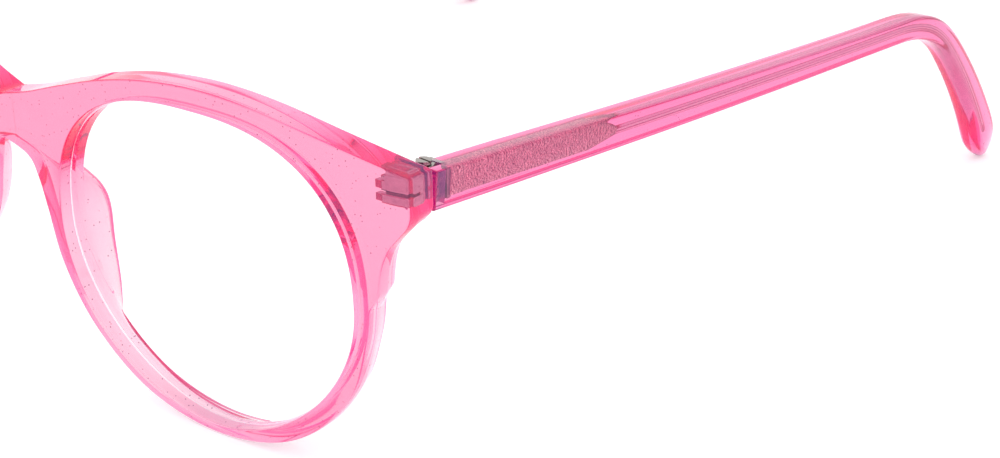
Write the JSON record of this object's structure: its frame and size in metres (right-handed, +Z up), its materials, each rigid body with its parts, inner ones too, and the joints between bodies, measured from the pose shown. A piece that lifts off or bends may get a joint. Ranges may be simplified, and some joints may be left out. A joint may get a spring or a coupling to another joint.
{
  "type": "blue light glasses",
  "caption": "Clear pink acetate spectacles with rounded blue light lenses, bonded nose pads and side arms that fold on barrel hinges.",
  "frame": {"origin": "centre of the footprint, on the surface the open glasses stand on", "axes": "+X to the wearer's left, +Y back along the temples from the front to the tips, +Z up"},
  "size_m": [0.133, 0.1508, 0.0473],
  "materials": {
    "pink_acetate": "polished, clear pink, translucent",
    "lens": "polished clear with a faint violet anti-reflection coating",
    "hinge_metal": "nickel silver, satin",
    "core_metal": "nickel silver with a pressed texture on the flat part"
  },
  "bodies": {
    "front": {"front_frame": "pink_acetate", "lens_left": "lens", "lens_right": "lens", "nose_pad_left": "pink_acetate", "nose_pad_right": "pink_acetate", "front_hinge_left": "hinge_metal", "front_hinge_right": "hinge_metal", "hinge_screw_left": "hinge_metal", "hinge_screw_right": "hinge_metal"},
    "arm_left": {"temple_left": "pink_acetate", "temple_hinge_left": "hinge_metal", "core_wire_left": "core_metal"},
    "arm_right": {"temple_right": "pink_acetate", "temple_hinge_right": "hinge_metal", "core_wire_right": "core_metal"}
  },
  "joints": [
    {"name": "fold_left", "type": "hinge", "parent": "front", "child": "arm_left", "pos_m": [0.0632, -0.06164, 0.03975], "axis": [0, 0, 1], "range_deg": [0, 87]},
    {"name": "fold_right", "type": "hinge", "parent": "front", "child": "arm_right", "pos_m": [-0.0632, -0.06164, 0.03975], "axis": [0, 0, -1], "range_deg": [0, 78]}
  ]
}
